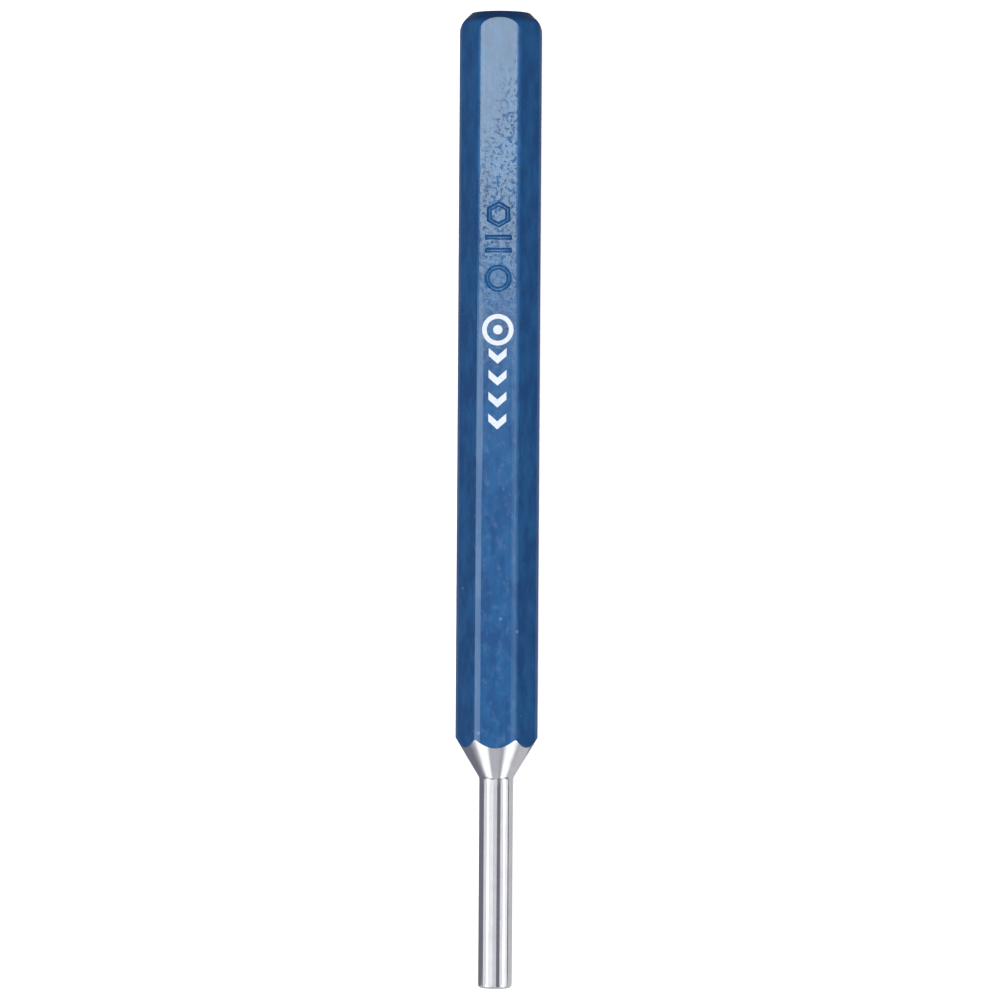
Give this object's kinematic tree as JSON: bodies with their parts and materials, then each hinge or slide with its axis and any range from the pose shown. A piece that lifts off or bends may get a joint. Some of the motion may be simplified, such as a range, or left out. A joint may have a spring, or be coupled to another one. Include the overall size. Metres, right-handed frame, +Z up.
{
  "type": "pin punch",
  "caption": "Parallel pin punch: hexagonal steel shank in blue enamel with a chamfered striking head, a conical shoulder and a bright straight pin.",
  "frame": {"origin": "under the middle of the tool's length, on the surface it lies on", "axes": "+X along the tool's axis from the pin's tip to the struck head, +Z up out of the flat that carries the stamped and printed marks"},
  "size_m": [0.137, 0.0116, 0.0102],
  "materials": {
    "steel": "polished",
    "enamel": "gloss",
    "ink": "satin"
  },
  "bodies": {
    "root": {"punch_steel": "steel", "enamel_coat": "enamel", "print_ring": "ink", "print_dot": "ink", "print_chevron_1": "ink", "print_chevron_2": "ink", "print_chevron_3": "ink", "print_chevron_4": "ink"}
  },
  "joints": []
}
